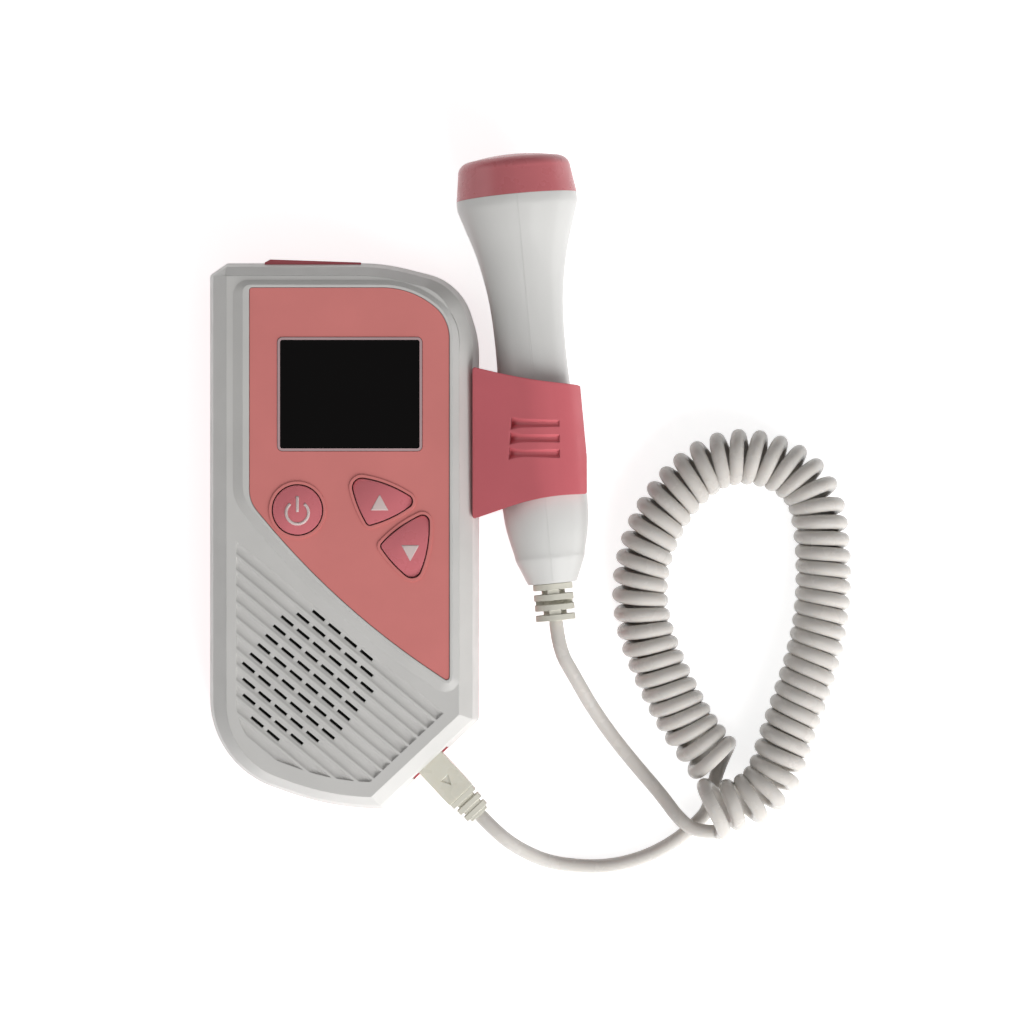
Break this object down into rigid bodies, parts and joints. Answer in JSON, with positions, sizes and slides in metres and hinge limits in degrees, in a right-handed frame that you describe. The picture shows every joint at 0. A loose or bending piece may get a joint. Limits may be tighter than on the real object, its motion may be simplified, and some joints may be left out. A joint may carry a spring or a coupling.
{
  "type": "fetal doppler monitor",
  "caption": "Hand-held fetal doppler monitor on its back, with display, buttons, ribbed speaker, a probe held in a side clip and a curly cord to its plug.",
  "frame": {"origin": "middle of the flat back face that the case rests on", "axes": "+Z from the back face to the front, +Y towards the display end, +X towards the probe"},
  "size_m": [0.1603, 0.1798, 0.031],
  "materials": {
    "white_abs": "fine satin moulded white ABS",
    "pink_abs": "fine satin moulded pink ABS",
    "panel_pink": "smooth satin pink panel",
    "window_black": "polished black-tinted window",
    "frame_pale": "thin pale window edging",
    "button_pink": "soft satin pink button",
    "lcd": "display glass in its tray",
    "circuit_board": "solder-masked board",
    "chips": "moulded component bodies",
    "switch_metal": "stamped steel switch cover",
    "speaker_fabric": "dark woven dust cloth",
    "speaker_steel": "pressed basket",
    "cone_paper": "pressed paper cone",
    "magnet": "ferrite magnet",
    "cell_jacket": "plain cell jacket",
    "spring_steel": "nickel-plated spring steel",
    "screw_steel": "zinc-plated steel",
    "probe_white": "smooth satin white ABS",
    "cap_pink": "smooth pink cap",
    "piezo": "fired piezo ceramic",
    "backing": "cast backing",
    "boot_beige": "flexible beige boot",
    "plug_clear": "translucent ivory plug",
    "contact_gold": "gold-plated contacts",
    "socket_white": "moulded socket",
    "cord_jacket": "soft beige-grey cord jacket"
  },
  "bodies": {
    "root": {"front_shell": "white_abs", "rear_shell": "pink_abs", "front_panel": "panel_pink", "screen_window": "window_black", "window_frame": "frame_pale", "display_module": "lcd", "main_board": "circuit_board", "board_components": "chips", "tact_switches": "switch_metal", "speaker_cloth": "speaker_fabric", "speaker_frame": "speaker_steel", "speaker_cone": "cone_paper", "speaker_magnet": "magnet", "cell_1": "cell_jacket", "cell_2": "cell_jacket", "battery_springs": "spring_steel", "battery_plates": "spring_steel", "case_screws": "screw_steel", "board_screws": "screw_steel", "holder_screws": "screw_steel", "probe_holder": "pink_abs", "probe_socket": "socket_white", "socket_contacts": "contact_gold", "plug_body": "plug_clear", "plug_contacts": "contact_gold", "plug_boot": "boot_beige", "probe_lead": "cord_jacket", "curly_cord": "cord_jacket", "plug_lead": "cord_jacket"},
    "power_button": {"power_button": "button_pink"},
    "up_button": {"up_button": "button_pink"},
    "down_button": {"down_button": "button_pink"},
    "battery_door": {"battery_door": "pink_abs"},
    "probe": {"probe_shell_left": "probe_white", "probe_shell_right": "probe_white", "probe_cap": "cap_pink", "piezo_elements": "piezo", "acoustic_backing": "backing", "probe_board": "circuit_board", "probe_boot": "boot_beige"}
  },
  "joints": [
    {"name": "power_press", "type": "slide", "parent": "root", "child": "power_button", "axis": [0, 0, -1], "range_m": [0, 0.0006], "stiffness_N_per_m": 1200},
    {"name": "up_press", "type": "slide", "parent": "root", "child": "up_button", "axis": [0, 0, -1], "range_m": [0, 0.0006], "stiffness_N_per_m": 1200},
    {"name": "down_press", "type": "slide", "parent": "root", "child": "down_button", "axis": [0, 0, -1], "range_m": [0, 0.0006], "stiffness_N_per_m": 1200},
    {"name": "door_slide", "type": "slide", "parent": "root", "child": "battery_door", "axis": [0, 1, 0], "range_m": [0, 0.066]},
    {"name": "probe_slide", "type": "slide", "parent": "root", "child": "probe", "axis": [-0.0925, 0.9957, 0], "range_m": [0, 0.065], "deforming": ["probe_lead"]}
  ]
}
